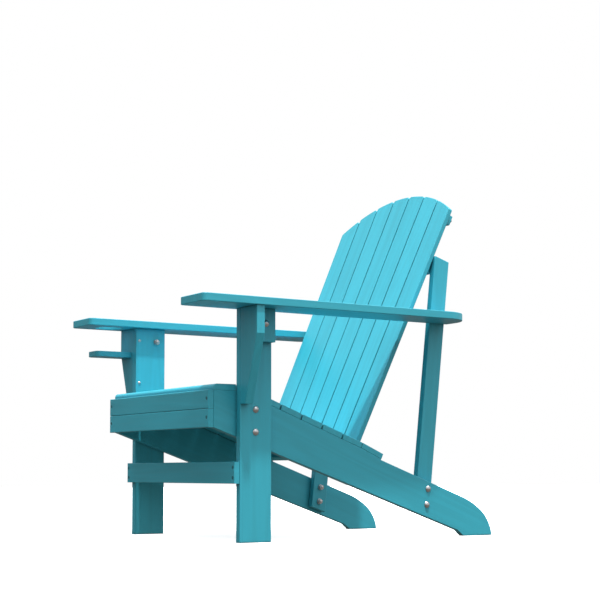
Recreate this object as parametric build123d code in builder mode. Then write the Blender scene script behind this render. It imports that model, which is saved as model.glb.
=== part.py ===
from build123d import *

import os
from math import cos, radians, sin, sqrt, tan

# Adirondack chair in synthetic lumber. Millimetres, +Z up, the chair faces -Y.
# The origin is on the floor at the centre of the overall box. +X is the sitter's left.

# Boards
board = 19.0  # legs, stringers, posts, arms, cleats and braces
thin_board = 15.0  # seat slats, aprons, stretcher and cup shelf
back_board = 13.0  # back slats
bracket_board = 22.0  # arm brackets
edge_ease = 1.5  # rounding along the boards' edges

# Overall
seat_width = 556.0  # across the outer faces of the stringers
arm_overhang = 148.0  # arms, ahead of the front legs
heel_reach = 805.0  # back of the heels, behind the front of the front legs

# Front legs
leg_width = 89.0
leg_height = 570.0

# Stringers, measured from the front of the front legs
stringer_front = -62.5
seat_front_height = 369.0  # top of the stringers at their front ends
front_depth = 91.0  # height of the stringers' front ends
sole_length = 99.5
toe_run = 19.5  # sloping cut ahead of the sole
toe_rise = 16.0
rear_slope = 20.0  # fall of the stringers' top edge behind the seat, degrees
rear_step = 2.0  # step down behind the last seat slat
heel_upper_run = 100.0  # the heel's curve starts this far ahead of its back
heel_middle_run = 35.0
heel_middle_height = 66.0

# Seat slats, laid along the stringers' top edges
slat_pitch = 66.0
slat_gap = 4.5
slat_falls = (0.0, 19.0, 20.7, 20.7, 20.7, 20.7, 20.7, 24.0)  # degrees, front to rear
nosing_radius = 9.0  # front edge of the first seat slat
rear_slat_gap = 1.0  # between the last slat and the one ahead of it
notch_clearance = 2.0  # behind the back slats, in the last seat slat's notch
notch_side_clearance = 5.0

# Aprons and front stretcher
apron_joint = 0.5
stretcher_bottom = 142.5
stretcher_height = 53.0
stretcher_setback = 1.0  # its ends, inside the outer faces of the legs

# Arms
arm_width = 122.0
arm_length = 816.0
arm_front_radius = 12.0
arm_rear_radius = 84.0
cup_hole_diameter = 75.0
cup_hole_inset = 51.0  # hole centre to the arm's outer edge
cup_hole_lead = 58.0  # hole centre, ahead of the front legs

# Arm brackets, cleats and the cup shelf
bracket_reach = 79.5
bracket_edge = 68.0  # upright outer edge
bracket_height = 235.0
bracket_toe = 24.7
cleat_height = 82.0
shelf_width = 62.5
shelf_length = 105.0
shelf_drop = 65.0  # top of the shelf below the underside of the arm
shelf_inset = 5.0  # shelf's outer edge, inside the bracket's
shelf_corner = 14.0

# Rear posts
post_width = 48.3
post_meet_up = 600.4  # front edge meets the back here, up from the slats' lower ends
post_lean = 6.17  # degrees
post_rise = 6.4  # front top corner above the place where the post meets the back
post_top_fall = 17.3  # degrees
post_lift = 8.0  # lower end above the stringers' lower edges
post_clearance = 1.0  # behind the back slats

# Back
recline = 24.6  # degrees from upright
back_clearance = 7.6  # back slats behind the seat slats
back_slat_count = 7
back_slat_gap = 4.4
back_length = 829.7  # the middle slat
back_drop = 22.3  # slats' lower ends below the seat slats' undersides
foot_pitch = 64.8  # slat pitch at the lower ends
crown_pitch = 75.6  # slat pitch at the top of the arch
foot_width = 461.6
crown_width = 523.0
arch_radius = 458.5
slat_corner = 7.0
mid_brace_up = 562.0  # lower edge, up from the slats' lower ends
mid_brace_width = 40.0
top_brace_up = 716.0
top_brace_width = 27.0
top_brace_length = 484.0
rail_width = 27.0
rail_clearance = 1.0  # under the seat slats

# Fasteners
hole_clearance = 0.3  # on the diameter
bolt_diameter = 8.0
bolt_head_diameter = 17.0
bolt_head_height = 5.0
bolt_end = 2.5  # bolt's end beyond its nut
lag_tip = 8.0
lag_skin = 3.0  # wood left behind a lag bolt's tip
washer_diameter = 16.0
washer_thickness = 1.6
nut_width = 13.0
nut_height = 6.5
screw_diameter = 4.0
screw_head_diameter = 9.0
screw_head_height = 2.4
screw_tip = 6.0
countersink_angle = 90.0
countersink_depth = 0.3  # a countersunk head lies this far below the surface
screw_grip = 26.0  # thread in the second board
seat_screw_grip = 17.0
slat_screw_grip = 9.0  # thread in a back slat
dowel_diameter = 8.0
dowel_length = 32.0
dowel_reach = 10.0  # into each post or stringer

# Fastener places
leg_bolt_heights = (322.8, 267.7)
post_bolt_rises = (56.7, 15.1)  # above the posts' lower front corners
cleat_bolt_from_rear = 27.0
cleat_bolt_drop = 37.0
stretcher_screw_pitch = 25.0
apron_screw_edge = 21.0  # below each apron's upper edge
bracket_screw_drops = (35.3, 152.7)
seat_screw_inset = 13.0
arm_screw_inset = 20.0
post_screw_pitch = 24.0
slat_screw_offset = 16.0  # each side of a back slat's middle
brace_screw_clearance = 1.0  # between the outermost heads and the posts
shelf_screw_pitch = 31.0

# Derived places
leg_front = (arm_overhang - heel_reach) / 2
stringer_outer = seat_width / 2
stringer_inner = stringer_outer - board
leg_outer = stringer_outer + board
post_inner = stringer_inner - board
arm_inner = stringer_inner
arm_outer = arm_inner + arm_width
slat_width = slat_pitch - slat_gap
apron_front = stringer_front - thin_board
apron_height = (front_depth - apron_joint) / 2
arm_top = leg_height + board
cleat_outer = leg_outer + board
bracket_outer = leg_outer + bracket_reach
cleat_front = bracket_board
screw_hole = (screw_diameter + hole_clearance) / 2
bolt_hole = (bolt_diameter + hole_clearance) / 2
sides = (("left", 1), ("right", -1))
recline_sin = sin(radians(recline))
recline_cos = cos(radians(recline))


def side_plane(x):
    """Profile plane facing +X at x: its first axis runs back, its second up."""
    return Plane(origin=(x, leg_front, 0), x_dir=(0, 1, 0), z_dir=(1, 0, 0))


def seat_points():
    """Corners of the stringers' faceted top edge, from the front end back."""
    points = [(stringer_front, seat_front_height)]
    for fall in slat_falls:
        y, z = points[-1]
        turn = radians(fall)
        points.append((y + slat_pitch * cos(turn), z - slat_pitch * sin(turn)))
    return points


def rear_edge_height(y):
    """Height of the stringers' top edge behind the seat."""
    last_y, last_z = seat_points()[-1]
    return last_z - rear_step - (y - last_y) * tan(radians(rear_slope))


toe_y = heel_reach - sole_length - toe_run
lower_slope = (seat_front_height - front_depth - toe_rise) / (toe_y - stringer_front)


def lower_edge_height(y):
    """Height of the stringers' lower edge."""
    return toe_rise + (toe_y - y) * lower_slope


def seat_plane(index):
    """Plane of a seat slat's underside: first axis across, second towards the rear and down."""
    y, z = seat_points()[index]
    fall = radians(slat_falls[index])
    return Plane(origin=(0, leg_front + y, z), x_dir=(-1, 0, 0), z_dir=(0, sin(fall), cos(fall)))


# The back's own frame: its front face passes just behind the last full seat slat. Its first
# axis runs across, its second up the slope and its third forwards.
seventh = len(slat_falls) - 2
edge_y, edge_z = seat_points()[seventh]
edge_fall = radians(slat_falls[seventh])
edge_y = edge_y + slat_width * cos(edge_fall)
edge_z = edge_z - slat_width * sin(edge_fall)
back_origin = (
    0,
    leg_front + edge_y + back_clearance * recline_cos,
    edge_z - back_clearance * recline_sin,
)
back_face = Plane(origin=back_origin, x_dir=(1, 0, 0), z_dir=(0, -recline_cos, recline_sin))
back_rear_face = back_face.offset(-back_board)
foot = -back_drop
crown = foot + back_length

# Where the posts' front edges meet the back, and where they would reach the floor.
post_meet = back_rear_face.offset(-post_clearance).from_local_coords(Vector(0, foot + post_meet_up, 0))
post_front = post_meet.Y - leg_front - post_meet.Z * tan(radians(post_lean))


def spread(foot_value, crown_value, up):
    """Value between the slats' lower ends and the crown, at a place up the back's slope."""
    share = (up - foot) / back_length
    return foot_value + (crown_value - foot_value) * share


def slat_edges(index, up):
    """Left and right edge of a back slat, at a place up the slope."""
    half = back_slat_count / 2
    pitch = spread(foot_pitch, crown_pitch, up)
    width = spread(foot_width, crown_width, up)
    low = (index - half) * pitch + back_slat_gap / 2
    high = (index + 1 - half) * pitch - back_slat_gap / 2
    if index == 0:
        low = -width / 2
    if index == back_slat_count - 1:
        high = width / 2
    return low, high


def slat_middle(index, up):
    """Middle of a back slat, at a place up the slope."""
    low, high = slat_edges(index, up)
    return (low + high) / 2


def post_edge(offset):
    """Where a line along the post, at an offset behind its front edge, meets its lower end."""
    lean = tan(radians(post_lean))
    start = post_front + offset
    lift = post_lift * sqrt(1 + lower_slope**2)
    z = (lower_edge_height(start) + lift) / (1 + lower_slope * lean)
    return (start + z * lean, z)


# Fastener seats: each is a plane under a head, whose third axis points out of the board.
def seat_at(x, y, z, outward):
    return Plane(origin=(x, leg_front + y, z), z_dir=outward)


def leg_bolt_seats(side):
    return [seat_at(side * leg_outer, leg_width / 2, z, (side, 0, 0)) for z in leg_bolt_heights]


def post_bolt_seats(side):
    seats = []
    for rise in post_bolt_rises:
        z = post_edge(0)[1] + rise
        middle = post_front + z * tan(radians(post_lean)) + post_width / 2
        seats.append(seat_at(side * stringer_outer, middle, z, (side, 0, 0)))
    return seats


def cleat_bolt_seats(side):
    y = leg_width - cleat_bolt_from_rear
    return [seat_at(side * cleat_outer, y, leg_height - cleat_bolt_drop, (side, 0, 0))]


def stretcher_screw_seats():
    middle = stretcher_bottom + stretcher_height / 2
    seats = []
    for side in (1, -1):
        for step in (-0.5, 0.5):
            x = side * (leg_outer - board / 2)
            z = middle + step * stretcher_screw_pitch
            seats.append(seat_at(x, -thin_board, z, (0, -1, 0)))
    return seats


def apron_tops():
    return (seat_front_height, seat_front_height - apron_height - apron_joint)


def apron_screw_seats():
    seats = []
    for side in (1, -1):
        for top in apron_tops():
            x = side * (stringer_outer - board / 2)
            seats.append(seat_at(x, apron_front, top - apron_screw_edge, (0, -1, 0)))
    return seats


def bracket_screw_seats(side):
    seats = []
    for drop in bracket_screw_drops:
        z = leg_height - drop
        seats.append(seat_at(side * stringer_outer, bracket_board / 2, z, (-side, 0, 0)))
    return seats


def shelf_middle():
    return -(bracket_outer - shelf_inset - shelf_width / 2)


def shelf_screw_seats():
    z = leg_height - shelf_drop - thin_board / 2
    seats = []
    for step in (-0.5, 0.5):
        x = shelf_middle() + step * shelf_screw_pitch
        seats.append(seat_at(x, bracket_board, z, (0, 1, 0)))
    return seats


def arm_screw_seats(side):
    leg_x = side * (leg_outer - board / 2)
    bracket_x = side * (leg_outer + bracket_reach / 2)
    places = (
        (leg_x, arm_screw_inset),
        (leg_x, leg_width - arm_screw_inset),
        (bracket_x, bracket_board / 2),
    )
    return [seat_at(x, y, arm_top, (0, 0, 1)) for x, y in places]


def post_screw_seats(side):
    z = leg_height + board / 2
    middle = post_front + z * tan(radians(post_lean)) + post_width / 2
    seats = []
    for step in (-0.5, 0.5):
        y = middle + step * post_screw_pitch
        seats.append(seat_at(side * post_inner, y, z, (-side, 0, 0)))
    return seats


def seat_screw_seats(index):
    """Two screws at each end of a seat slat, down into the stringers."""
    plane = seat_plane(index).offset(thin_board)
    seats = []
    for side in (1, -1):
        for along in (seat_screw_inset, slat_width - seat_screw_inset):
            origin = plane.from_local_coords(Vector(side * (stringer_outer - board / 2), -along, 0))
            seats.append(Plane(origin=origin, z_dir=plane.z_dir))
    return seats


def brace_screw_seats(face, up, outward, places):
    """Screws square to the back, one at each place across it."""
    seats = []
    for x in places:
        origin = face.from_local_coords(Vector(x, up, 0))
        seats.append(Plane(origin=origin, z_dir=back_face.z_dir * outward))
    return seats


def slat_pairs(up):
    """Places across the back for two screws in each slat."""
    places = []
    for index in range(back_slat_count):
        middle = slat_middle(index, up)
        places.append(middle - slat_screw_offset)
        places.append(middle + slat_screw_offset)
    return places


def mid_brace_screw_seats():
    """The outermost screws keep clear of the posts."""
    up = foot + mid_brace_up + mid_brace_width / 2
    reach = post_inner - screw_head_diameter / 2 - brace_screw_clearance
    places = [max(-reach, min(reach, x)) for x in slat_pairs(up)]
    return brace_screw_seats(back_rear_face.offset(-board), up, -1, places)


def top_brace_screw_seats():
    up = foot + top_brace_up + top_brace_width / 2
    return brace_screw_seats(back_rear_face.offset(-board), up, -1, slat_pairs(up))


def rail_screw_up():
    """Halfway up the stretch that the slats and the rail share."""
    return (foot - rail_clearance) / 2


def rail_screw_seats():
    up = rail_screw_up()
    return brace_screw_seats(back_rear_face, up, -1, slat_pairs(up))


def rail_dowel_seats(side):
    """A dowel across each joint of the rail and a stringer."""
    up = -rail_clearance - rail_width / 2
    x = side * (stringer_inner + dowel_reach)
    origin = back_face.from_local_coords(Vector(x, up, board / 2))
    return [Plane(origin=origin, z_dir=(side, 0, 0))]


def brace_dowel_seats(side):
    """A dowel across each joint of the middle brace and a post, high and far back in the brace."""
    up = foot + mid_brace_up + mid_brace_width - dowel_diameter * 1.5
    depth = back_board + board - dowel_diameter * 0.8
    x = side * (post_inner + dowel_reach)
    origin = back_face.from_local_coords(Vector(x, up, -depth))
    return [Plane(origin=origin, z_dir=(side, 0, 0))]


def drill(seats, radius, depth):
    """Holes in the part being built, one straight in from each seat."""
    with Locations(*seats):
        Hole(radius, depth)


def socket(seats):
    """Blind holes for dowels, open on the dowels' inner side only."""
    with Locations(*seats):
        Cylinder(
            dowel_diameter / 2, dowel_length, align=(Align.CENTER, Align.CENTER, Align.MAX), mode=Mode.SUBTRACT
        )


def countersink(seats, depth):
    """Holes for countersunk screws, one straight in from each seat."""
    mouth = (screw_head_diameter + hole_clearance) / 2 + countersink_depth
    with Locations(*seats):
        CounterSinkHole(screw_hole, mouth, depth, countersink_angle)


def ease(part):
    """Round the outline of a board's two broad faces."""
    broad = part.faces().sort_by(SortBy.AREA)[-2:]
    fillet(broad.edges(), edge_ease)


def write(name, piece):
    piece.label = name
    export_step(piece, "parts/" + name + ".step")


# Frame
def make_leg(side):
    with BuildPart() as leg:
        with BuildSketch(side_plane(side * stringer_outer)):
            with Locations((leg_width / 2, leg_height / 2)):
                Rectangle(leg_width, leg_height)
        extrude(amount=side * board)
        ease(leg)
        drill(leg_bolt_seats(side), bolt_hole, board)
        drill(cleat_bolt_seats(side), bolt_hole, 2 * board)
        drill(bracket_screw_seats(side), screw_hole, board)
        drill(stretcher_screw_seats(), screw_hole, thin_board + screw_grip)
        drill(arm_screw_seats(side), screw_hole, board + screw_grip)
    return leg.part


def make_stringer(side):
    top = seat_points()
    last_y = top[-1][0]
    upper = (heel_reach - heel_upper_run, rear_edge_height(heel_reach - heel_upper_run))
    middle = (heel_reach - heel_middle_run, heel_middle_height)
    slope = radians(rear_slope)
    with BuildPart() as stringer:
        with BuildSketch(side_plane(side * stringer_inner)):
            with BuildLine():
                Polyline(*top, (last_y, rear_edge_height(last_y)), upper)
                crest = TangentArc(upper, middle, tangent=(cos(slope), -sin(slope)))
                TangentArc(middle, (heel_reach, 0), tangent=crest % 1)
                Polyline(
                    (heel_reach, 0),
                    (heel_reach - sole_length, 0),
                    (toe_y, toe_rise),
                    (stringer_front, seat_front_height - front_depth),
                    top[0],
                )
            make_face()
        extrude(amount=side * board)
        ease(stringer)
        drill(leg_bolt_seats(side), bolt_hole, 2 * board - lag_skin)
        drill(post_bolt_seats(side), bolt_hole, board)
        drill(apron_screw_seats(), screw_hole, thin_board + screw_grip)
        socket(rail_dowel_seats(side))
        for index in range(len(slat_falls)):
            drill(seat_screw_seats(index), screw_hole, thin_board + seat_screw_grip)
    return stringer.part


def post_outline():
    """Corners of a post's side, from the lower front round to the upper front."""
    lean = tan(radians(post_lean))
    fall = tan(radians(post_top_fall))
    slope = tan(radians(recline))
    meet_y = post_meet.Y - leg_front
    rear_z = post_meet.Z + post_rise - post_width * fall / (1 + fall * lean)
    rear_y = post_front + post_width + rear_z * lean
    # The upper front corner is cut back along the slats.
    cut_rise = post_rise * (1 + lean * fall) / (1 + slope * fall)
    return [
        post_edge(0),
        post_edge(post_width),
        (rear_y, rear_z),
        (meet_y + cut_rise * slope, post_meet.Z + cut_rise),
        (meet_y, post_meet.Z),
    ]


def make_post(side):
    with BuildPart() as post:
        with BuildSketch(side_plane(side * post_inner)):
            with BuildLine():
                Polyline(*post_outline(), close=True)
            make_face()
        extrude(amount=side * board)
        ease(post)
        drill(post_bolt_seats(side), bolt_hole, 2 * board)
        drill(post_screw_seats(side), screw_hole, board)
        socket(brace_dowel_seats(side))
    return post.part


def make_arm(side):
    rear = arm_length - arm_overhang
    with BuildPart() as arm:
        with BuildSketch(Plane.XY.offset(leg_height)) as outline:
            with Locations((side * (arm_inner + arm_width / 2), leg_front + rear - arm_length / 2)):
                Rectangle(arm_width, arm_length)
            front_corners = outline.vertices().group_by(Axis.Y)[0]
            fillet(front_corners, arm_front_radius)
            rear_corners = outline.vertices().group_by(Axis.Y)[-1].sort_by(Axis.X)
            outer_corner = rear_corners[-1] if side > 0 else rear_corners[0]
            fillet(outer_corner, arm_rear_radius)
        extrude(amount=board)
        ease(arm)
        if side < 0:
            with Locations((-(arm_outer - cup_hole_inset), leg_front - cup_hole_lead, arm_top)):
                Hole(cup_hole_diameter / 2, board)
            rim = arm.edges().filter_by(GeomType.CIRCLE).filter_by(
                lambda edge: abs(edge.radius - cup_hole_diameter / 2) < edge_ease / 10
            )
            fillet(rim, edge_ease)
        countersink(arm_screw_seats(side), board)
        drill(post_screw_seats(side), screw_hole, board + screw_grip)
    return arm.part


def make_arm_bracket(side):
    with BuildPart() as bracket:
        with BuildSketch(Plane(origin=(0, leg_front, 0), x_dir=(1, 0, 0), z_dir=(0, -1, 0))):
            with BuildLine():
                Polyline(
                    (side * leg_outer, leg_height),
                    (side * bracket_outer, leg_height),
                    (side * bracket_outer, leg_height - bracket_edge),
                    (side * (leg_outer + bracket_toe), leg_height - bracket_height),
                    (side * leg_outer, leg_height - bracket_height),
                    close=True,
                )
            make_face()
        extrude(amount=-bracket_board)
        ease(bracket)
        drill(bracket_screw_seats(side), screw_hole, board + screw_grip)
        drill(arm_screw_seats(side), screw_hole, board + screw_grip)
        if side < 0:
            drill(shelf_screw_seats(), screw_hole, bracket_board)
    return bracket.part


def make_arm_cleat(side):
    length = leg_width - cleat_front
    with BuildPart() as cleat:
        with BuildSketch(side_plane(side * leg_outer)):
            with Locations((cleat_front + length / 2, leg_height - cleat_height / 2)):
                Rectangle(length, cleat_height)
        extrude(amount=side * board)
        ease(cleat)
        drill(cleat_bolt_seats(side), bolt_hole, board)
    return cleat.part


def make_cup_shelf():
    with BuildPart() as shelf:
        top = leg_height - shelf_drop
        with BuildSketch(Plane.XY.offset(top)) as outline:
            with Locations((shelf_middle(), leg_front - shelf_length / 2)):
                Rectangle(shelf_width, shelf_length)
            fillet(outline.vertices().group_by(Axis.Y)[0], shelf_corner)
        extrude(amount=-thin_board)
        ease(shelf)
        drill(shelf_screw_seats(), screw_hole, bracket_board + screw_grip)
    return shelf.part


def make_front_board(length, bottom, height, front):
    """A board across the front, its broad faces upright."""
    with BuildPart() as plank:
        with BuildSketch(Plane(origin=(0, leg_front + front, 0), x_dir=(1, 0, 0), z_dir=(0, -1, 0))):
            with Locations((0, bottom + height / 2)):
                Rectangle(length, height)
        extrude(amount=thin_board)
        ease(plank)
        countersink(stretcher_screw_seats() + apron_screw_seats(), thin_board)
    return plank.part


# Seat
def make_seat_slat(index):
    with BuildPart() as slat:
        with BuildSketch(seat_plane(index)):
            with Locations((0, -slat_width / 2)):
                Rectangle(seat_width, slat_width)
        extrude(amount=thin_board)
        if index == 0:
            nose = slat.edges().filter_by(Axis.X).group_by(Axis.Z)[-1].sort_by(Axis.Y)[0]
            fillet(nose, nosing_radius)
        else:
            ease(slat)
        countersink(seat_screw_seats(index), thin_board)
    return slat.part


def make_rear_seat_slat():
    """The last seat slat, notched so that the back slats pass down through it."""
    index = len(slat_falls) - 1
    plane = seat_plane(index)
    front = slat_gap - rear_slat_gap
    half = spread(foot_width, crown_width, 0) / 2 + notch_side_clearance
    with BuildPart() as slat:
        with BuildSketch(plane):
            with Locations((0, (front - slat_pitch) / 2)):
                Rectangle(seat_width, slat_pitch + front)
        extrude(amount=thin_board)
        ease(slat)
        with BuildSketch(back_face.offset(slat_pitch)):
            Rectangle(2 * half, 2 * slat_pitch)
        extrude(amount=-slat_pitch - back_board - notch_clearance, mode=Mode.SUBTRACT)
        countersink(seat_screw_seats(index), thin_board)
    return slat.part


def make_back_rail():
    with BuildPart() as rail:
        with BuildSketch(back_face):
            with Locations((0, -rail_clearance - rail_width / 2)):
                Rectangle(2 * stringer_inner, rail_width)
        extrude(amount=board)
        ease(rail)
        drill(rail_screw_seats(), screw_hole, back_board + slat_screw_grip)
        for name, side in sides:
            socket(rail_dowel_seats(side))
    return rail.part


# Back
def make_back_slat(index):
    low_foot, high_foot = slat_edges(index, foot)
    low_crown, high_crown = slat_edges(index, crown)
    centre = crown - arch_radius
    with BuildPart() as slat:
        with BuildSketch(back_face) as outline:
            with BuildLine():
                Polyline(
                    (low_foot, foot), (high_foot, foot), (high_crown, crown), (low_crown, crown), close=True
                )
            make_face()
            with BuildLine():
                Polyline((-arch_radius, centre), (-arch_radius, foot), (arch_radius, foot), (arch_radius, centre))
                ThreePointArc((arch_radius, centre), (0, crown), (-arch_radius, centre))
            make_face(mode=Mode.INTERSECT)
            fillet(outline.vertices().sort_by(Axis.Y)[-2:], slat_corner)
        extrude(amount=-back_board)
        ease(slat)
        drill(rail_screw_seats(), screw_hole, back_board)
        drill(mid_brace_screw_seats(), screw_hole, board + slat_screw_grip)
        drill(top_brace_screw_seats(), screw_hole, board + slat_screw_grip)
    return slat.part


def make_brace(length, lower_edge, width, seats):
    """A board across the rear of the back slats."""
    with BuildPart() as brace:
        with BuildSketch(back_rear_face):
            with Locations((0, foot + lower_edge + width / 2)):
                Rectangle(length, width)
        extrude(amount=-board)
        ease(brace)
        drill(seats, screw_hole, board)
        for name, side in sides:
            socket(brace_dowel_seats(side))
    return brace.part


# Fasteners
def make_domed_pin(pin_diameter, length, head_diameter, head_height, tip):
    """A pin along -Z under a domed head, its end tapered over the length of its tip."""
    head = head_diameter / 2
    dome = (head**2 + head_height**2) / (2 * head_height)
    with BuildPart() as pin:
        with BuildSketch(Plane.XZ):
            with BuildLine():
                RadiusArc((0, head_height), (head, 0), dome)
                Polyline(
                    (head, 0),
                    (pin_diameter / 2, 0),
                    (pin_diameter / 2, tip - length),
                    (pin_diameter / 8, -length),
                    (0, -length),
                    (0, head_height),
                )
            make_face()
        revolve(axis=Axis.Z)
    return pin.part


def make_group(piece, seats):
    """Copies of a fastener, one at each seat."""
    with BuildPart() as group:
        with Locations(*seats):
            add(piece)
    return group.part


def make_bolts(seats, grip):
    length = grip + washer_thickness + nut_height + bolt_end
    bolt = make_domed_pin(bolt_diameter, length, bolt_head_diameter, bolt_head_height, 1)
    return make_group(bolt, seats)


def make_lag_bolts(seats, length):
    bolt = make_domed_pin(bolt_diameter, length, bolt_head_diameter, bolt_head_height, lag_tip)
    return make_group(bolt, seats)


def make_washers(seats, grip):
    with BuildPart() as washer:
        with BuildSketch(Plane.XY.offset(-grip)):
            Circle(washer_diameter / 2)
            Circle(bolt_hole, mode=Mode.SUBTRACT)
        extrude(amount=-washer_thickness)
    return make_group(washer.part, seats)


def make_nuts(seats, grip):
    with BuildPart() as nut:
        with BuildSketch(Plane.XY.offset(-grip - washer_thickness)):
            RegularPolygon(nut_width / 2, 6, major_radius=False)
            Circle(bolt_hole, mode=Mode.SUBTRACT)
        extrude(amount=-nut_height)
    return make_group(nut.part, seats)


def make_screws(seats, length):
    screw = make_domed_pin(screw_diameter, length, screw_head_diameter, screw_head_height, screw_tip)
    return make_group(screw, seats)


def make_countersunk_screws(seats, length):
    head = screw_head_diameter / 2
    shank = screw_diameter / 2
    top = -countersink_depth
    under = top - (head - shank) / tan(radians(countersink_angle / 2))
    with BuildPart() as screw:
        with BuildSketch(Plane.XZ):
            with BuildLine():
                Polyline(
                    (0, top), (head, top), (shank, under),
                    (shank, screw_tip - length), (shank / 4, -length), (0, -length),
                    close=True,
                )
            make_face()
        revolve(axis=Axis.Z)
    return make_group(screw.part, seats)


def make_dowels(seats):
    with BuildPart() as dowel:
        with BuildSketch():
            Circle(dowel_diameter / 2)
        extrude(amount=-dowel_length)
    return make_group(dowel.part, seats)


def both(seats):
    """The seats on the left side and on the right."""
    return [seat for name, side in sides for seat in seats(side)]


def make_all():
    pieces = {}
    for name, side in sides:
        pieces[name + "_leg"] = make_leg(side)
        pieces[name + "_stringer"] = make_stringer(side)
        pieces[name + "_post"] = make_post(side)
        pieces[name + "_arm"] = make_arm(side)
        pieces[name + "_arm_bracket"] = make_arm_bracket(side)
        pieces[name + "_arm_cleat"] = make_arm_cleat(side)
    pieces["cup_shelf"] = make_cup_shelf()
    pieces["front_stretcher"] = make_front_board(
        2 * (leg_outer - stretcher_setback), stretcher_bottom, stretcher_height, 0
    )
    for name, top in zip(("upper_apron", "lower_apron"), apron_tops()):
        pieces[name] = make_front_board(seat_width, top - apron_height, apron_height, stringer_front)
    for index in range(len(slat_falls) - 1):
        pieces["seat_slat_" + str(index + 1)] = make_seat_slat(index)
    pieces["rear_seat_slat"] = make_rear_seat_slat()
    for index in range(back_slat_count):
        pieces["back_slat_" + str(index + 1)] = make_back_slat(index)
    pieces["back_rail"] = make_back_rail()
    pieces["mid_back_brace"] = make_brace(
        2 * post_inner, mid_brace_up, mid_brace_width, mid_brace_screw_seats()
    )
    pieces["top_back_brace"] = make_brace(
        top_brace_length, top_brace_up, top_brace_width, top_brace_screw_seats()
    )
    pieces["brace_dowels"] = make_dowels(both(brace_dowel_seats))
    pieces["rail_dowels"] = make_dowels(both(rail_dowel_seats))
    pieces["leg_lag_bolts"] = make_lag_bolts(both(leg_bolt_seats), 2 * board - lag_skin)
    for name, seats in (("post", post_bolt_seats), ("cleat", cleat_bolt_seats)):
        pieces[name + "_bolts"] = make_bolts(both(seats), 2 * board)
        pieces[name + "_washers"] = make_washers(both(seats), 2 * board)
        pieces[name + "_nuts"] = make_nuts(both(seats), 2 * board)
    seat_screws = [seat for index in range(len(slat_falls)) for seat in seat_screw_seats(index)]
    brace_screws = mid_brace_screw_seats() + top_brace_screw_seats()
    pieces["stretcher_screws"] = make_countersunk_screws(stretcher_screw_seats(), thin_board + screw_grip)
    pieces["apron_screws"] = make_countersunk_screws(apron_screw_seats(), thin_board + screw_grip)
    pieces["bracket_screws"] = make_screws(both(bracket_screw_seats), board + screw_grip)
    pieces["shelf_screws"] = make_screws(shelf_screw_seats(), bracket_board + screw_grip)
    pieces["arm_screws"] = make_countersunk_screws(both(arm_screw_seats), board + screw_grip)
    pieces["post_screws"] = make_screws(both(post_screw_seats), board + screw_grip)
    pieces["seat_screws"] = make_countersunk_screws(seat_screws, thin_board + seat_screw_grip)
    pieces["brace_screws"] = make_screws(brace_screws, board + slat_screw_grip)
    pieces["rail_screws"] = make_screws(rail_screw_seats(), back_board + slat_screw_grip)
    return pieces


os.makedirs("parts", exist_ok=True)
for name, piece in make_all().items():
    write(name, piece)
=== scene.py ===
from math import cos, pi, radians, sin, sqrt

import bmesh
import bpy
import numpy as np
from mathutils import Matrix, Vector


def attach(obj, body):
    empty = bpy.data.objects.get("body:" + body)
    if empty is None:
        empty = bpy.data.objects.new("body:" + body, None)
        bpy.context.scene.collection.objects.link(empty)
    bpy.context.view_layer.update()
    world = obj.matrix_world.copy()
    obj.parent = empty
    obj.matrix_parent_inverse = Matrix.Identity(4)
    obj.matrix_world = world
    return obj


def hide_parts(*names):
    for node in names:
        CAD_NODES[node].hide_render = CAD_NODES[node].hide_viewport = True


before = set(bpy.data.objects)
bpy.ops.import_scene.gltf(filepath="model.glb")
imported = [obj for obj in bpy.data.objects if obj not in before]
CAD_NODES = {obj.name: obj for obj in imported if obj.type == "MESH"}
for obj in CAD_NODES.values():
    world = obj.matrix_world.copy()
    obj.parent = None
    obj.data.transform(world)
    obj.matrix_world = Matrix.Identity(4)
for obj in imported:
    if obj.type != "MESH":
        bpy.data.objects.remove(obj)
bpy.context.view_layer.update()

bl_info = {
    "name": "Adirondack Chair Finish",
    "version": (1, 0, 0),
    "blender": (4, 5, 0),
    "location": "3D Viewport > Sidebar > Chair",
    "description": "Gives the chair its lumber finish and its hardware, and sets it on a studio floor",
    "category": "Object",
}

MM = 0.001

# Boards whose grain runs straight up. The grain of all others follows their length.
UPRIGHT_BOARDS = ("left_arm_bracket", "right_arm_bracket", "left_arm_cleat", "right_arm_cleat")
BOLTS = ("leg_lag_bolts", "post_bolts", "cleat_bolts")
WASHERS = ("post_washers", "cleat_washers")
NUTS = ("post_nuts", "cleat_nuts")
SCREWS = tuple(name for name in sorted(CAD_NODES) if name.endswith("screws"))
COUNTERSUNK = ("arm_screws", "seat_screws", "apron_screws", "stretcher_screws")
# The apron and stretcher screws get a dark colour that is painted shade.
SHADE_PAINTED_SCREWS = ("apron_screws", "stretcher_screws")
DOWELS = ("brace_dowels", "rail_dowels")
FASTENERS = BOLTS + WASHERS + NUTS + SCREWS + DOWELS
BOARDS = tuple(name for name in sorted(CAD_NODES) if name not in FASTENERS)

# Sizes of the fasteners. Their lengths are read from their CAD nodes.
BOLT_RADIUS = 4.0 * MM
BOLT_HEAD_RADIUS = 8.5 * MM
BOLT_RIM = 0.7 * MM
BOLT_END_CHAMFER = 0.6 * MM
LAG_POINT = 8.0 * MM
THREAD_TURNS = 9
THREAD_DEPTH = 0.6  # as a share of the pitch
BORE_RADIUS = 4.15 * MM
WASHER_RADIUS = 8.0 * MM
WASHER_EASE = 0.25 * MM
NUT_FLAT = 6.5 * MM  # from the nut's middle to each flat
NUT_CHAMFER = 0.9 * MM
SCREW_RADIUS = 2.0 * MM
SCREW_HEAD_RADIUS = 4.5 * MM
SCREW_TIP_RADIUS = 0.5 * MM
SCREW_POINT = 6.0 * MM
ROUND_HEAD = 2.4 * MM
ROUND_HEAD_RIM = 0.4 * MM
FLAT_HEAD_LIP = 0.2 * MM
RECESS_DEPTH = 1.4 * MM

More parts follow.
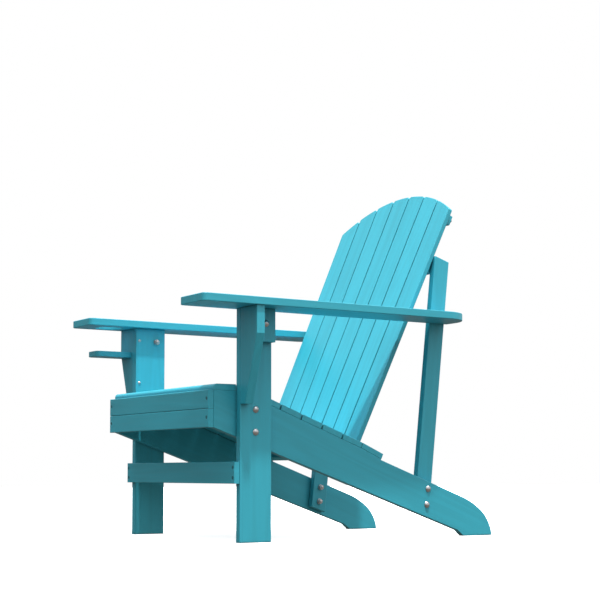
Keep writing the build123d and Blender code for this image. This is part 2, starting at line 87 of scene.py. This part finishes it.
# Sizes and colours in the materials and on the stage.
WORN_EDGE = 2.2 * MM
JOINT_REACH = 14 * MM
DOWEL_COLOUR = (0.48, 0.30, 0.15)
FLOOR_COLOUR = (0.88, 0.88, 0.88)
FLOOR_GLOW = 0.75
FLOOR_DROP = 0.5 * MM
SENSOR_WIDTH = 36.0  # in millimetres


# ---------------------------------------------------------------- settings


class LumberSettings(bpy.types.PropertyGroup):
    colour: bpy.props.FloatVectorProperty(
        name="Colour", description="Body colour of the lumber", subtype="COLOR", size=3,
        default=(0.034, 0.400, 0.520), min=0.0, max=1.0,
    )
    contrast: bpy.props.FloatProperty(
        name="Grain contrast", description="Difference in brightness between the pale and the dark grain",
        default=0.16, min=0.0, max=1.0,
    )
    variation: bpy.props.FloatProperty(
        name="Board variation", description="Difference in brightness between boards",
        default=0.03, min=0.0,
    )
    roughness: bpy.props.FloatProperty(
        name="Roughness", description="Roughness of the satin skin", default=0.42, subtype="FACTOR",
    )
    grain_depth: bpy.props.FloatProperty(
        name="Grain depth", description="Depth of the embossed grain", default=0.35 * MM, unit="LENGTH",
    )
    edge_wear: bpy.props.FloatProperty(
        name="Edge wear", description="How much paler the rubbed edges are", default=0.04, subtype="FACTOR",
    )
    # Strength of the painted shade that ambient occlusion puts in narrow joints and creases.
    joint_shade: bpy.props.FloatProperty(
        name="Joint shade", description="How much darker the narrow joints are",
        default=0.75, subtype="FACTOR",
    )


class HardwareSettings(bpy.types.PropertyGroup):
    steel: bpy.props.FloatVectorProperty(
        name="Steel", description="Colour of the bare steel", subtype="COLOR", size=3,
        default=(0.56, 0.57, 0.59), min=0.0, max=1.0,
    )
    # Dark colour painted on the apron and stretcher screws as shade.
    screw_shade_colour: bpy.props.FloatVectorProperty(
        name="Screw shade", description="Colour of the coated screws", subtype="COLOR", size=3,
        default=(0.012, 0.150, 0.190), min=0.0, max=1.0,
    )
    head_height: bpy.props.FloatProperty(
        name="Bolt head", description="Height of a bolt's domed head", default=5.0 * MM, unit="LENGTH",
    )
    thread_pitch: bpy.props.FloatProperty(
        name="Thread pitch", description="Spacing of the bolts' threads", default=1.25 * MM, unit="LENGTH",
    )
    recess: bpy.props.FloatProperty(
        name="Recess", description="Span of the cross recess in a screw's head",
        default=4.4 * MM, unit="LENGTH",
    )


class StageSettings(bpy.types.PropertyGroup):
    sun_strength: bpy.props.FloatProperty(name="Sun", description="Strength of the key light", default=4.0)
    sun_height: bpy.props.FloatProperty(
        name="Sun height", description="Height of the key light above the horizon",
        default=radians(77), subtype="ANGLE",
    )
    sun_bearing: bpy.props.FloatProperty(
        name="Sun bearing", description="Turn of the key light from the chair's left towards its front",
        default=radians(6), subtype="ANGLE",
    )
    sun_size: bpy.props.FloatProperty(
        name="Sun size", description="Apparent size of the key light", default=radians(2), subtype="ANGLE",
    )
    top_strength: bpy.props.FloatProperty(
        name="Overhead light", description="Strength of the broad light straight above", default=2.2,
    )
    top_size: bpy.props.FloatProperty(
        name="Overhead size", description="Apparent size of the broad light straight above",
        default=radians(60), subtype="ANGLE",
    )
    horizon: bpy.props.FloatProperty(
        name="Horizon", description="Strength of the surrounding light at the horizon", default=0.43,
    )
    zenith: bpy.props.FloatProperty(
        name="Zenith", description="Further strength of the surrounding light overhead", default=0.85,
    )
    side_bias: bpy.props.FloatProperty(
        name="Side bias", description="How much brighter the surroundings are to the chair's left and rear",
        default=0.25,
    )
    ground: bpy.props.FloatVectorProperty(
        name="Ground", description="Light from below", subtype="COLOR", size=3,
        default=(0.235, 0.205, 0.175), min=0.0, max=1.0,
    )
    floor_size: bpy.props.FloatProperty(
        name="Floor", description="Side of the studio floor", default=24.0, unit="LENGTH",
    )
    camera_place: bpy.props.FloatVectorProperty(
        name="Camera place", description="Where the camera stands", subtype="XYZ", unit="LENGTH", size=3,
        default=(3.2234, -2.0282, 0.1681),
    )
    camera_bearing: bpy.props.FloatProperty(
        name="Camera bearing", description="Turn of the camera from straight back", default=radians(57.395),
        subtype="ANGLE",
    )
    camera_tilt: bpy.props.FloatProperty(
        name="Camera tilt", description="Upward tilt of the camera", default=radians(4), subtype="ANGLE",
    )
    camera_lens: bpy.props.FloatProperty(
        name="Lens", description="Focal length in millimetres", default=83.86, unit="CAMERA",
    )
    camera_rise: bpy.props.FloatProperty(
        name="Rise", description="Upward shift of the lens, as a share of the frame's width",
        default=0.1256,
    )


# ---------------------------------------------------------------- modelling tools


def clear_selection():
    if bpy.context.mode != "OBJECT":
        bpy.ops.object.mode_set(mode="OBJECT")
    bpy.ops.object.select_all(action="DESELECT")


def make_active(piece):
    clear_selection()
    piece.select_set(True)
    bpy.context.view_layer.objects.active = piece


def turned(name, profile, corners):
    """A solid turned about Z: a disc at the profile's first radius and height, drawn up ring by ring."""
    clear_selection()
    radius, height = profile[0]
    bpy.ops.mesh.primitive_circle_add(
        vertices=corners, radius=radius, fill_type="NGON", location=(0, 0, height)
    )
    piece = bpy.context.object
    piece.name = name
    bpy.ops.object.transform_apply(location=True)
    bpy.ops.object.mode_set(mode="EDIT")
    bpy.ops.mesh.select_all(action="SELECT")
    for next_radius, next_height in profile[1:]:
        bpy.ops.mesh.extrude_region_move(
            TRANSFORM_OT_translate={"value": (0, 0, next_height - height), "orient_type": "GLOBAL"}
        )
        ratio = next_radius / radius
        bpy.ops.transform.resize(value=(ratio, ratio, 1), center_override=(0, 0, next_height))
        radius, height = next_radius, next_height
    bpy.ops.mesh.select_all(action="SELECT")
    bpy.ops.mesh.normals_make_consistent(inside=False)
    bpy.ops.object.mode_set(mode="OBJECT")
    return piece


def cut(piece, cutter):
    """Take the cutter's shape out of a piece."""
    make_active(piece)
    modifier = piece.modifiers.new("cut", "BOOLEAN")
    modifier.operation = "DIFFERENCE"
    modifier.solver = "EXACT"
    modifier.object = cutter
    bpy.ops.object.modifier_apply(modifier=modifier.name)
    bpy.data.objects.remove(cutter)


def smooth(piece, angle):
    make_active(piece)
    bpy.ops.object.shade_smooth_by_angle(angle=angle)


def bore_through(piece, thickness):
    """Drill a washer or a nut for its bolt."""
    drill = turned("bore", [(BORE_RADIUS, -2 * thickness), (BORE_RADIUS, thickness)], corners=40)
    cut(piece, drill)


def cover(piece, material):
    """Give a piece one material in place of those it has."""
    piece.data.materials.clear()
    piece.data.materials.append(material)


def dome(radius, height, steps):
    """Profile of a domed head from its rim to the small flat at its crown, which is at zero height."""
    crown_radius = 0.06 * radius
    crown_drop = 0.01 * MM
    ball = (radius**2 + height**2) / (2 * height)
    points = []
    for step in range(steps):
        reach = radius * (1 - step / steps)
        points.append((reach, sqrt(ball**2 - reach**2) - ball))
    points.append((crown_radius, -crown_drop))
    return points


def solids_of(node):
    """Corner points of each separate solid in a CAD node."""
    shape = bmesh.new()
    shape.from_mesh(CAD_NODES[node].data)
    bmesh.ops.remove_doubles(shape, verts=shape.verts, dist=0.01 * MM)
    seen = set()
    solids = []
    for start in shape.verts:
        if start in seen:
            continue
        seen.add(start)
        queue = [start]
        points = []
        while queue:
            corner = queue.pop()
            points.append(tuple(corner.co))
            for edge in corner.link_edges:
                other = edge.other_vert(corner)
                if other not in seen:
                    seen.add(other)
                    queue.append(other)
        solids.append(np.array(points))
    shape.free()
    return solids


def fastener_places(node, flat):
    """Place and length of each fastener in a node.

    The place is a matrix at the middle of the fastener's outer end, with Z pointing out. A bolt's or a
    screw's outer end is its head. A washer or a nut is flat, and its outer end faces the chair's middle.
    """
    places = []
    for points in solids_of(node):
        middle = (points.min(axis=0) + points.max(axis=0)) / 2
        values, vectors = np.linalg.eigh(np.cov((points - middle).T))
        axis = vectors[:, 0] if flat else vectors[:, 2]
        along = points @ axis
        across = points - np.outer(along, axis)
        if flat:
            outward = -np.sign(middle[0] * axis[0])
        else:
            centre = (across.min(axis=0) + across.max(axis=0)) / 2
            spread = np.linalg.norm(across - centre, axis=1)
            outward = np.sign(along[spread.argmax()] - (along.min() + along.max()) / 2)
        axis = axis * outward
        along = along * outward
        centre = (across.min(axis=0) + across.max(axis=0)) / 2
        centre = centre - axis * (centre @ axis)
        turn = Vector(axis).to_track_quat("Z", "Y").to_matrix().to_4x4()
        place = Matrix.Translation(Vector(centre + axis * along.max())) @ turn
        places.append((place, float(along.max() - along.min())))
    return places


def fit_copies(model, node, places, material):
    """Put a copy of a fastener at each place, join them and let them stand for the CAD node."""
    copies = []
    for place, length in places:
        mesh = model.data.copy()
        mesh.transform(place)
        copy = bpy.data.objects.new(node + "_finished", mesh)
        bpy.context.collection.objects.link(copy)
        copies.append(copy)
    bpy.data.objects.remove(model)
    clear_selection()
    for copy in copies:
        copy.select_set(True)
    bpy.context.view_layer.objects.active = copies[0]
    bpy.ops.object.join()
    piece = bpy.context.object
    piece.name = node + "_finished"
    cover(piece, material)
    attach(piece, "root")
    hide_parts(node)
    return piece


# ---------------------------------------------------------------- material tools


class Nodes:
    """Adds and joins the nodes of one material."""

    def __init__(self, name):
        self.material = bpy.data.materials.new(name)
        self.material.use_nodes = True
        self.tree = self.material.node_tree
        self.shader = self.tree.nodes["Principled BSDF"]

    def add(self, kind, **settings):
        """A new node, each setting put on the socket of that name or else on the node itself."""
        node = self.tree.nodes.new(kind)
        for key, value in settings.items():
            if key in node.inputs:
                node.inputs[key].default_value = value
            else:
                setattr(node, key, value)
        return node

    def join(self, source, target):
        self.tree.links.new(source, target)

    def maths(self, operation, first, second):
        """Maths on two values, each a number or another node's output."""
        node = self.add("ShaderNodeMath", operation=operation)
        for socket, value in zip(node.inputs, (first, second)):
            if isinstance(value, (int, float)):
                socket.default_value = value
            else:
                self.join(value, socket)
        return node.outputs[0]

    def place(self, turn=(0, 0, 0), offset=(0, 0, 0)):
        """Object coordinates, turned so that Y runs with the grain, and moved to a place of their own."""
        coordinates = self.add("ShaderNodeTexCoord")
        turned_to = self.add("ShaderNodeMapping", Rotation=turn, Location=offset)
        self.join(coordinates.outputs["Object"], turned_to.inputs["Vector"])
        return turned_to.outputs["Vector"]

    def noise(self, vector, scale, detail, roughness):
        """Noise, its scale given along each axis per metre."""
        stretched = self.add("ShaderNodeMapping", Scale=scale)
        self.join(vector, stretched.inputs["Vector"])
        texture = self.add("ShaderNodeTexNoise", Scale=1.0, Detail=detail, Roughness=roughness)
        self.join(stretched.outputs["Vector"], texture.inputs["Vector"])
        return texture.outputs["Fac"]

    def remap(self, value, low, high, to_low, to_high):
        """A value's span from low to high, stretched to run from to_low to to_high and held there."""
        node = self.add("ShaderNodeMapRange")
        for key, number in (("From Min", low), ("From Max", high), ("To Min", to_low), ("To Max", to_high)):
            node.inputs[key].default_value = number
        self.join(value, node.inputs["Value"])
        return node.outputs["Result"]

    def brighten(self, colour, factor):
        """A colour times a factor that varies over the surface."""
        node = self.add("ShaderNodeMix", data_type="RGBA", blend_type="MULTIPLY")
        node.inputs["Factor"].default_value = 1.0
        sockets = [socket for socket in node.inputs if socket.type == "RGBA"]
        sockets[0].default_value = (*colour, 1.0)
        self.join(factor, sockets[1])
        return [socket for socket in node.outputs if socket.type == "RGBA"][0]

    def edges(self, radius):
        """1 where the surface turns over an edge, 0 on the flat."""
        rounded = self.add("ShaderNodeBevel", samples=4, Radius=radius)
        flat = self.add("ShaderNodeNewGeometry")
        product = self.add("ShaderNodeVectorMath", operation="DOT_PRODUCT")
        self.join(rounded.outputs["Normal"], product.inputs[0])
        self.join(flat.outputs["Normal"], product.inputs[1])
        return self.remap(product.outputs["Value"], 0.995, 0.90, 0.0, 1.0)

    def joints(self, reach):
        """Painted shade from ambient occlusion: 0 deep in the narrow joints and creases between boards, 1
        in the open.
        """
        openness = self.add("ShaderNodeAmbientOcclusion", samples=6, Distance=reach)
        return self.remap(openness.outputs["AO"], 0.1, 0.75, 0.0, 1.0)

    def emboss(self, height, strength, distance):
        """Relief of the given depth on the surface."""
        bump = self.add("ShaderNodeBump", Strength=strength, Distance=distance)
        self.join(height, bump.inputs["Height"])
        self.join(bump.outputs["Normal"], self.shader.inputs["Normal"])


def grain_turn(node):
    """Turn that lays a board's length, found from its faces, along Y."""
    if node in UPRIGHT_BOARDS:
        length = Vector((0, 0, 1))
    else:
        mesh = CAD_NODES[node].data
        count = len(mesh.polygons)
        centres = np.zeros(count * 3)
        areas = np.zeros(count)
        mesh.polygons.foreach_get("center", centres)
        mesh.polygons.foreach_get("area", areas)
        centres = centres.reshape(count, 3)
        spread = np.cov((centres - np.average(centres, axis=0, weights=areas)).T, aweights=areas)
        length = Vector(np.linalg.eigh(spread)[1][:, 2])
    if length.z < 0:
        length = -length
    return length.rotation_difference(Vector((0, 1, 0))).to_euler()


def lumber(node, number):
    """Satin plastic lumber with an embossed grain that runs along one board."""
    settings = bpy.context.scene.chair_lumber
    nodes = Nodes("lumber_" + node)
    shift = (number * 1.37 % 5, number * 2.11 % 7, number * 0.73 % 3)
    place = nodes.place(grain_turn(node), shift)
    # Long rings like those of sawn wood, then fine fibres, wider streaks and broad clouds of tone.
    rings = nodes.noise(place, (14, 0.9, 14), 2.0, 0.45)
    rings = nodes.maths("SINE", nodes.maths("MULTIPLY", rings, 60.0), 0.0)
    rings = nodes.remap(rings, -1.0, 1.0, 0.0, 1.0)
    fibres = nodes.noise(place, (420, 6, 420), 4.0, 0.6)
    streaks = nodes.noise(place, (60, 1.3, 60), 5.0, 0.6)
    clouds = nodes.noise(place, (5, 3, 5), 2.0, 0.5)
    grain = nodes.maths("ADD", nodes.maths("MULTIPLY", rings, 0.22), nodes.maths("MULTIPLY", fibres, 0.40))
    tone = nodes.maths("ADD", grain, nodes.maths("MULTIPLY", streaks, 0.55))
    tone = nodes.maths("ADD", tone, nodes.maths("MULTIPLY", clouds, 0.35))
    board = 1.0 + settings.variation * sin(number * 2.4)
    half = settings.contrast / 2
    brightness = nodes.remap(tone, 0.45, 1.05, board * (1 - half), board * (1 + half))
    # Edges are rubbed paler in patches. Narrow joints and creases are darkened with painted shade from
    # ambient occlusion.
    worn = nodes.maths("MULTIPLY", nodes.edges(WORN_EDGE), nodes.remap(streaks, 0.35, 0.65, 0.2, 1.0))
    brightness = nodes.maths("ADD", brightness, nodes.maths("MULTIPLY", worn, settings.edge_wear))
    unshaded = nodes.remap(nodes.joints(JOINT_REACH), 0.0, 1.0, 1 - settings.joint_shade, 1.0)
    brightness = nodes.maths("MULTIPLY", brightness, unshaded)
    nodes.join(nodes.brighten(settings.colour, brightness), nodes.shader.inputs["Base Color"])
    gloss = nodes.maths("ADD", nodes.maths("MULTIPLY", fibres, 0.6), nodes.maths("MULTIPLY", clouds, 0.4))
    low, high = settings.roughness - 0.06, settings.roughness + 0.08
    nodes.join(nodes.remap(gloss, 0.35, 0.65, low, high), nodes.shader.inputs["Roughness"])
    nodes.shader.inputs["Specular IOR Level"].default_value = 0.5
    nodes.emboss(grain, 0.6, settings.grain_depth)
    return nodes.material


def bright_steel():
    """Stainless steel, lightly brushed and a little stained."""
    settings = bpy.context.scene.chair_hardware
    nodes = Nodes("bright_steel")
    place = nodes.place()
    marks = nodes.noise(place, (900, 2600, 900), 4.0, 0.6)
    stains = nodes.noise(place, (130, 130, 130), 3.0, 0.55)
    shade = nodes.remap(stains, 0.3, 0.7, 0.78, 1.08)
    nodes.join(nodes.brighten(settings.steel, shade), nodes.shader.inputs["Base Color"])
    nodes.join(nodes.remap(marks, 0.3, 0.7, 0.20, 0.38), nodes.shader.inputs["Roughness"])
    nodes.shader.inputs["Metallic"].default_value = 1.0
    nodes.emboss(marks, 0.2, 0.03 * MM)
    return nodes.material


def screw_painted_shade():
    """Screw heads coloured darker than the boards, as painted shade for the shade and dark reflections on
    the front screws.
    """
    settings = bpy.context.scene.chair_hardware
    nodes = Nodes("screw_painted_shade")
    place = nodes.place()
    grit = nodes.noise(place, (1800, 1800, 1800), 3.0, 0.6)
    patches = nodes.noise(place, (160, 160, 160), 3.0, 0.5)
    shade = nodes.remap(patches, 0.3, 0.7, 0.75, 1.3)
    nodes.join(nodes.brighten(settings.screw_shade_colour, shade), nodes.shader.inputs["Base Color"])
    nodes.join(nodes.remap(grit, 0.3, 0.7, 0.42, 0.62), nodes.shader.inputs["Roughness"])
    nodes.emboss(grit, 0.3, 0.03 * MM)
    return nodes.material


def turned_wood():
    """Plain hardwood dowel."""
    nodes = Nodes("turned_wood")
    place = nodes.place()
    fibres = nodes.noise(place, (12, 900, 900), 5.0, 0.6)
    pores = nodes.noise(place, (60, 2600, 2600), 3.0, 0.5)
    shade = nodes.remap(fibres, 0.3, 0.7, 0.75, 1.15)
    nodes.join(nodes.brighten(DOWEL_COLOUR, shade), nodes.shader.inputs["Base Color"])
    nodes.join(nodes.remap(pores, 0.3, 0.7, 0.55, 0.75), nodes.shader.inputs["Roughness"])
    nodes.emboss(fibres, 0.4, 0.1 * MM)
    return nodes.material


def studio_floor():
    """Pale, even studio floor."""
    nodes = Nodes("studio_floor")
    place = nodes.place()
    clouds = nodes.noise(place, (2, 2, 2), 3.0, 0.5)
    shade = nodes.remap(clouds, 0.3, 0.7, 0.985, 1.0)
    nodes.join(nodes.brighten(FLOOR_COLOUR, shade), nodes.shader.inputs["Base Color"])
    nodes.shader.inputs["Roughness"].default_value = 0.9
    nodes.shader.inputs["Specular IOR Level"].default_value = 0.1
    nodes.shader.inputs["Emission Color"].default_value = (1, 1, 1, 1)
    nodes.shader.inputs["Emission Strength"].default_value = FLOOR_GLOW
    return nodes.material


# ---------------------------------------------------------------- the chair's pieces


class CHAIR_OT_boards(bpy.types.Operator):
    """Give each board its lumber, with the grain along it"""

    bl_idname = "chair.boards"
    bl_label = "Finish boards"

    def execute(self, context):
        for number, node in enumerate(BOARDS):
            cover(CAD_NODES[node], lumber(node, number))
        return {"FINISHED"}


class CHAIR_OT_dowels(bpy.types.Operator):
    """Give the hidden dowels their wood"""

    bl_idname = "chair.dowels"
    bl_label = "Finish dowels"

    def execute(self, context):
        material = turned_wood()
        for node in DOWELS:
            cover(CAD_NODES[node], material)
        return {"FINISHED"}


class CHAIR_OT_bolts(bpy.types.Operator):
    """Make the domed bolts, with their threads, and the pointed lag bolts"""

    bl_idname = "chair.bolts"
    bl_label = "Fit bolts"

    def execute(self, context):
        settings = context.scene.chair_hardware
        pitch = settings.thread_pitch
        root = BOLT_RADIUS - THREAD_DEPTH * pitch
        for node in BOLTS:
            places = fastener_places(node, flat=False)
            length = places[0][1]
            if node == "leg_lag_bolts":
                start = LAG_POINT
                profile = [(0.25 * BOLT_RADIUS, -length), (root, start - length)]
            else:
                start = pitch
                profile = [(0.78 * BOLT_RADIUS, -length), (BOLT_RADIUS, BOLT_END_CHAMFER - length)]
            for turn in range(THREAD_TURNS):
                height = start + turn * pitch - length
                profile.append((root, height))
                profile.append((BOLT_RADIUS, height + pitch / 2))
            profile.append((BOLT_RADIUS, -settings.head_height))
            profile.append((0.97 * BOLT_HEAD_RADIUS, -settings.head_height))
            profile += dome(BOLT_HEAD_RADIUS, settings.head_height - BOLT_RIM, steps=9)
            bolt = turned("bolt_model", profile, corners=40)
            smooth(bolt, angle=radians(40))
            fit_copies(bolt, node, places, bpy.data.materials["bright_steel"])
        return {"FINISHED"}


class CHAIR_OT_washers(bpy.types.Operator):
    """Make the washers under the nuts"""

    bl_idname = "chair.washers"
    bl_label = "Fit washers"

    def execute(self, context):
        for node in WASHERS:
            places = fastener_places(node, flat=True)
            thickness = places[0][1]
            profile = [
                (WASHER_RADIUS - WASHER_EASE, -thickness),
                (WASHER_RADIUS, WASHER_EASE - thickness),
                (WASHER_RADIUS, -WASHER_EASE),
                (WASHER_RADIUS - WASHER_EASE, 0.0),
            ]
            washer = turned("washer_model", profile, corners=48)
            bore_through(washer, thickness)
            smooth(washer, angle=radians(40))
            fit_copies(washer, node, places, bpy.data.materials["bright_steel"])
        return {"FINISHED"}


class CHAIR_OT_nuts(bpy.types.Operator):
    """Make the chamfered nuts: a turned blank, cut to six flats and bored"""

    bl_idname = "chair.nuts"
    bl_label = "Fit nuts"

    def execute(self, context):
        for node in NUTS:
            places = fastener_places(node, flat=True)
            height = places[0][1]
            corner = NUT_FLAT / cos(pi / 6)
            slope = 0.6 * NUT_CHAMFER
            profile = [
                (NUT_FLAT, -height),
                (corner, slope - height),
                (corner, -slope),
                (NUT_FLAT, 0.0),
            ]
            nut = turned("nut_model", profile, corners=48)
            make_active(nut)
            bpy.ops.object.mode_set(mode="EDIT")
            for side in range(6):
                angle = side * pi / 3
                normal = (cos(angle), sin(angle), 0)
                bpy.ops.mesh.select_all(action="SELECT")
                bpy.ops.mesh.bisect(
                    plane_co=(NUT_FLAT * normal[0], NUT_FLAT * normal[1], 0), plane_no=normal,
                    use_fill=True, clear_outer=True,
                )
            bpy.ops.object.mode_set(mode="OBJECT")
            bore_through(nut, height)
            smooth(nut, angle=radians(25))
            fit_copies(nut, node, places, bpy.data.materials["bright_steel"])
        return {"FINISHED"}


def cross_recess(span, depth):
    """Cutter for a cross recess, its arms narrowing downwards."""
    arm_width = 0.24 * span
    arms = []
    for angle in (0, pi / 2):
        clear_selection()
        bpy.ops.mesh.primitive_cube_add(size=1, location=(0, 0, 0))
        arm = bpy.context.object
        arm.data.transform(Matrix.Diagonal((span, arm_width, depth * 2, 1)))
        bpy.ops.object.mode_set(mode="EDIT")
        bpy.ops.mesh.select_all(action="DESELECT")
        shape = bmesh.from_edit_mesh(arm.data)
        for face in shape.faces:
            face.select_set(face.normal.z < -0.5)
        bmesh.update_edit_mesh(arm.data)
        bpy.ops.transform.resize(value=(0.55, 0.7, 1), center_override=(0, 0, -depth))
        bpy.ops.object.mode_set(mode="OBJECT")
        arm.data.transform(Matrix.Rotation(angle, 4, "Z"))
        arms.append(arm)
    clear_selection()
    modifier = arms[0].modifiers.new("join", "BOOLEAN")
    modifier.operation = "UNION"
    modifier.solver = "EXACT"
    modifier.object = arms[1]
    make_active(arms[0])
    bpy.ops.object.modifier_apply(modifier=modifier.name)
    bpy.data.objects.remove(arms[1])
    return arms[0]


class CHAIR_OT_screws(bpy.types.Operator):
    """Make the wood screws, domed or countersunk, with a cross recess"""

    bl_idname = "chair.screws"
    bl_label = "Drive screws"

    def execute(self, context):
        settings = context.scene.chair_hardware
        for node in SCREWS:
            places = fastener_places(node, flat=False)
            length = places[0][1]
            profile = [(SCREW_TIP_RADIUS, -length), (SCREW_RADIUS, SCREW_POINT - length)]
            if node in COUNTERSUNK:
                cone = SCREW_HEAD_RADIUS - SCREW_RADIUS
                profile += [
                    (SCREW_RADIUS, -cone - FLAT_HEAD_LIP),
                    (SCREW_HEAD_RADIUS, -FLAT_HEAD_LIP),
                    (SCREW_HEAD_RADIUS, 0.0),
                    (0.7 * SCREW_HEAD_RADIUS, 0.0),
                ]
            else:
                profile += [(SCREW_RADIUS, -ROUND_HEAD), (0.98 * SCREW_HEAD_RADIUS, -ROUND_HEAD)]
                profile += dome(SCREW_HEAD_RADIUS, ROUND_HEAD - ROUND_HEAD_RIM, steps=6)
            screw = turned("screw_model", profile, corners=24)
            cut(screw, cross_recess(settings.recess, RECESS_DEPTH))
            smooth(screw, angle=radians(35))
            # Painted shade: the apron and stretcher screws take the dark colour.
            shade_painted = node in SHADE_PAINTED_SCREWS
            material = bpy.data.materials["screw_painted_shade" if shade_painted else "bright_steel"]
            fit_copies(screw, node, places, material)
        return {"FINISHED"}


class CHAIR_OT_stage(bpy.types.Operator):
    """Lay the studio floor and set the lights and the camera"""

    bl_idname = "chair.stage"
    bl_label = "Set the stage"

    def execute(self, context):
        settings = context.scene.chair_stage
        clear_selection()
        bpy.ops.mesh.primitive_grid_add(
            x_subdivisions=12, y_subdivisions=12, size=settings.floor_size, location=(0, 0, -FLOOR_DROP)
        )
        floor = context.object
        floor.name = "studio_floor"
        bpy.ops.object.transform_apply(location=True)
        floor.data.materials.append(studio_floor())
        floor.visible_diffuse = False
        floor.visible_glossy = False
        self.light(context, settings)
        self.sky(context, settings)
        bpy.ops.object.camera_add(
            location=settings.camera_place,
            rotation=(pi / 2 + settings.camera_tilt, 0, settings.camera_bearing),
        )
        camera = context.object
        camera.data.sensor_width = SENSOR_WIDTH
        camera.data.lens = settings.camera_lens
        camera.data.shift_y = settings.camera_rise
        camera.data.dof.use_dof = False
        context.scene.camera = camera
        context.scene.view_settings.view_transform = "Standard"
        return {"FINISHED"}

    def light(self, context, settings):
        """A high key light from the chair's left, and a broad light straight above."""
        height = settings.sun_height
        bearing = settings.sun_bearing
        towards = Vector((cos(height) * cos(bearing), -cos(height) * sin(bearing), sin(height)))
        bpy.ops.object.light_add(type="SUN", rotation=towards.to_track_quat("Z", "Y").to_euler())
        sun = context.object
        sun.data.energy = settings.sun_strength
        sun.data.angle = settings.sun_size
        sun.data.color = (1.0, 0.98, 0.95)
        bpy.ops.object.light_add(type="SUN", rotation=(0, 0, 0))
        top = context.object
        top.data.energy = settings.top_strength
        top.data.angle = settings.top_size

    def sky(self, context, settings):
        """White to the camera. As light, brightest overhead, and dim and slightly warm from below."""
        band = 0.1
        world = bpy.data.worlds.new("studio")
        context.scene.world = world
        world.use_nodes = True
        tree = world.node_tree
        tree.nodes.clear()
        join = tree.links.new
        place = tree.nodes.new("ShaderNodeTexCoord")
        split = tree.nodes.new("ShaderNodeSeparateXYZ")
        above = tree.nodes.new("ShaderNodeMapRange")
        above.inputs["From Min"].default_value = -band
        above.inputs["From Max"].default_value = band
        rise = tree.nodes.new("ShaderNodeMapRange")
        rise.inputs["To Min"].default_value = settings.horizon
        rise.inputs["To Max"].default_value = settings.horizon + settings.zenith
        tint = tree.nodes.new("ShaderNodeMix")
        tint.data_type = "RGBA"
        colours = [socket for socket in tint.inputs if socket.type == "RGBA"]
        colours[0].default_value = (*settings.ground, 1.0)
        bias = tree.nodes.new("ShaderNodeVectorMath")
        bias.operation = "DOT_PRODUCT"
        bias.inputs[1].default_value = (settings.side_bias, settings.side_bias, 0.0)
        strength = tree.nodes.new("ShaderNodeMath")
        strength.inputs[1].default_value = 1.0
        light = tree.nodes.new("ShaderNodeBackground")
        backdrop = tree.nodes.new("ShaderNodeBackground")
        backdrop.inputs["Color"].default_value = (1, 1, 1, 1)
        path = tree.nodes.new("ShaderNodeLightPath")
        mix = tree.nodes.new("ShaderNodeMixShader")
        output = tree.nodes.new("ShaderNodeOutputWorld")
        join(place.outputs["Generated"], split.inputs[0])
        join(place.outputs["Generated"], bias.inputs[0])
        join(bias.outputs["Value"], strength.inputs[0])
        join(strength.outputs[0], light.inputs["Strength"])
        join(split.outputs["Z"], above.inputs["Value"])
        join(split.outputs["Z"], rise.inputs["Value"])
        join(above.outputs["Result"], tint.inputs["Factor"])
        join(rise.outputs["Result"], colours[1])
        join([socket for socket in tint.outputs if socket.type == "RGBA"][0], light.inputs["Color"])
        join(path.outputs["Is Camera Ray"], mix.inputs[0])
        join(light.outputs[0], mix.inputs[1])
        join(backdrop.outputs[0], mix.inputs[2])
        join(mix.outputs[0], output.inputs["Surface"])


class CHAIR_PT_panel(bpy.types.Panel):
    bl_idname = "CHAIR_PT_panel"
    bl_label = "Adirondack chair"
    bl_space_type = "VIEW_3D"
    bl_region_type = "UI"
    bl_category = "Chair"

    def draw(self, context):
        for group in ("chair_lumber", "chair_hardware", "chair_stage"):
            settings = getattr(context.scene, group)
            box = self.layout.box()
            for name in settings.__annotations__:
                box.prop(settings, name)
        for operator in OPERATORS:
            self.layout.operator(operator.bl_idname)


SETTINGS = {
    "chair_lumber": LumberSettings,
    "chair_hardware": HardwareSettings,
    "chair_stage": StageSettings,
}
OPERATORS = (
    CHAIR_OT_boards,
    CHAIR_OT_dowels,
    CHAIR_OT_bolts,
    CHAIR_OT_washers,
    CHAIR_OT_nuts,
    CHAIR_OT_screws,
    CHAIR_OT_stage,
)
CLASSES = (*SETTINGS.values(), *OPERATORS, CHAIR_PT_panel)


def register():
    for cls in CLASSES:
        bpy.utils.register_class(cls)
    for name, cls in SETTINGS.items():
        setattr(bpy.types.Scene, name, bpy.props.PointerProperty(type=cls))


def unregister():
    for name in SETTINGS:
        delattr(bpy.types.Scene, name)
    for cls in reversed(CLASSES):
        bpy.utils.unregister_class(cls)


def main():
    register()
    bright_steel()
    screw_painted_shade()
    bpy.ops.chair.boards()
    bpy.ops.chair.dowels()
    bpy.ops.chair.bolts()
    bpy.ops.chair.washers()
    bpy.ops.chair.nuts()
    bpy.ops.chair.screws()
    bpy.ops.chair.stage()


if __name__ == "__main__":
    main()
